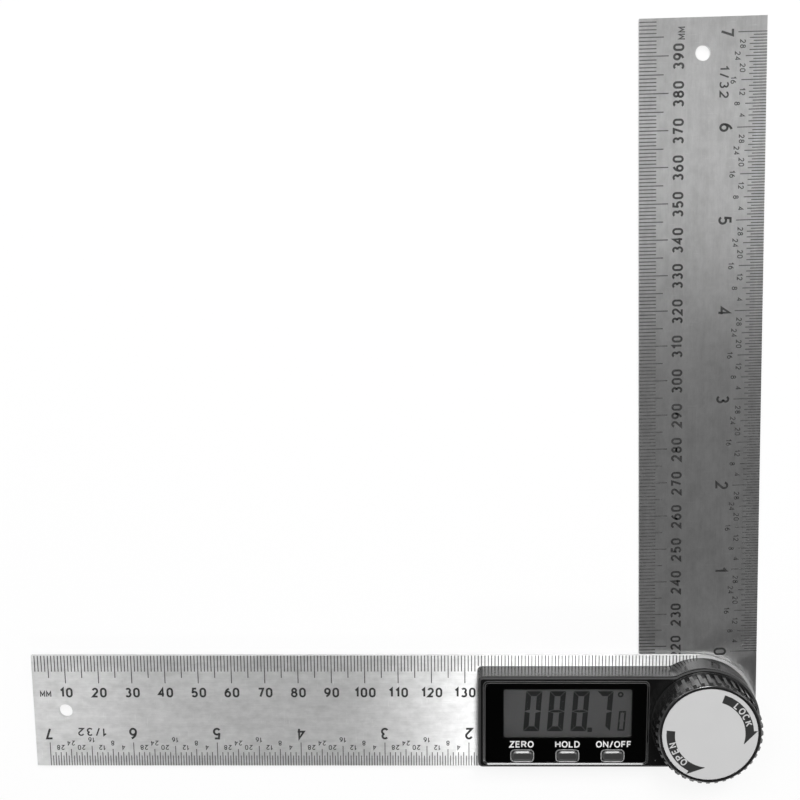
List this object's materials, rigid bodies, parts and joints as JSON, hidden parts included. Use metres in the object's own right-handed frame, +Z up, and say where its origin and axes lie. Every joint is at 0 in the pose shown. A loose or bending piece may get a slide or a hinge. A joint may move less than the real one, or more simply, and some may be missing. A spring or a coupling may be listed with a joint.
{
  "type": "digital protractor",
  "caption": "Steel rulers turning on a locking pivot, with scales on both edges, an angle display with keys in a moulded housing, and a battery door underneath.",
  "frame": {"origin": "where the pivot axis leaves the underside of the swinging ruler, which lies on the table", "axes": "+Z up along the pivot axis through the lock knob, -X along the base ruler towards its free end; at rest the swinging ruler lies 88.7 degrees from the base ruler, close to +Y"},
  "size_m": [0.2175, 0.2178, 0.0189],
  "materials": {
    "steel": "brushed lengthwise",
    "turned_steel": "turned",
    "spring_steel": "bright",
    "screw_steel": "bright",
    "friction_fibre": "matt",
    "bearing_bronze": "turned",
    "contact_metal": "plated strip",
    "cell_case": "satin",
    "black_moulding": "gloss",
    "black_grip": "satin",
    "key_grey": "satin",
    "inner_moulding": "matt",
    "mask_black": "matt",
    "window_clear": "clear",
    "display_glass": "gloss",
    "board_laminate": "lacquered",
    "chip_black": "matt",
    "rubber": "matt",
    "label_print": "satin print"
  },
  "bodies": {
    "base": {"base_ruler": "steel", "pivot_bush": "bearing_bronze", "battery": "cell_case", "battery_cup": "inner_moulding", "positive_contact": "contact_metal", "negative_contact": "contact_metal", "housing": "black_moulding", "housing_screws": "screw_steel", "display_window": "window_clear", "window_adhesive": "mask_black", "lcd_panel": "display_glass", "zebra_strip": "rubber", "lcd_backing_pad": "rubber", "circuit_board": "board_laminate", "board_screws": "screw_steel", "board_chips": "chip_black", "disc_spring": "spring_steel", "zero_dome": "spring_steel", "hold_dome": "spring_steel", "power_dome": "spring_steel"},
    "swing": {"swing_ruler": "steel", "friction_washer": "friction_fibre", "pivot_hub": "turned_steel", "hub_screws": "screw_steel", "encoder_rotor": "board_laminate", "rotor_retainer": "spring_steel"},
    "thrust": {"thrust_washer": "spring_steel"},
    "knob": {"knob_cap": "black_grip", "knob_stud": "turned_steel", "knob_label": "label_print"},
    "zero_button": {"zero_key": "key_grey"},
    "hold_button": {"hold_key": "key_grey"},
    "power_button": {"power_key": "key_grey"},
    "seal": {"door_seal": "rubber"},
    "door": {"battery_door": "black_grip"}
  },
  "joints": [
    {"name": "swing_pivot", "type": "hinge", "parent": "base", "child": "swing", "pos_m": [0, 0, 0.0012], "axis": [0, 0, 1], "continuous": true},
    {"name": "knob_lift", "type": "slide", "parent": "swing", "child": "thrust", "axis": [0, 0, 1], "range_m": [0, 0.00061], "deforming": ["disc_spring"]},
    {"name": "knob_turn", "type": "hinge", "parent": "thrust", "child": "knob", "pos_m": [0, 0, 0.015], "axis": [0, 0, 1], "range_deg": [0, 270]},
    {"name": "zero_press", "type": "slide", "parent": "base", "child": "zero_button", "axis": [0, 0, -1], "range_m": [0, 0.0004], "stiffness_N_per_m": 600, "deforming": ["zero_dome"]},
    {"name": "hold_press", "type": "slide", "parent": "base", "child": "hold_button", "axis": [0, 0, -1], "range_m": [0, 0.0004], "stiffness_N_per_m": 600, "deforming": ["hold_dome"]},
    {"name": "power_press", "type": "slide", "parent": "base", "child": "power_button", "axis": [0, 0, -1], "range_m": [0, 0.0004], "stiffness_N_per_m": 600, "deforming": ["power_dome"]},
    {"name": "door_lower", "type": "slide", "parent": "base", "child": "seal", "axis": [0, 0, -1], "range_m": [0, 0.00151]},
    {"name": "door_turn", "type": "hinge", "parent": "seal", "child": "door", "pos_m": [-0.0399, 0, 0.0019], "axis": [0, 0, -1], "range_deg": [0, 720]}
  ],
  "couplings": [
    {"joint": "knob_lift", "follows": "knob_turn", "m_per_rad": 0.00012732},
    {"joint": "door_lower", "follows": "door_turn", "m_per_rad": 0.00011937}
  ]
}
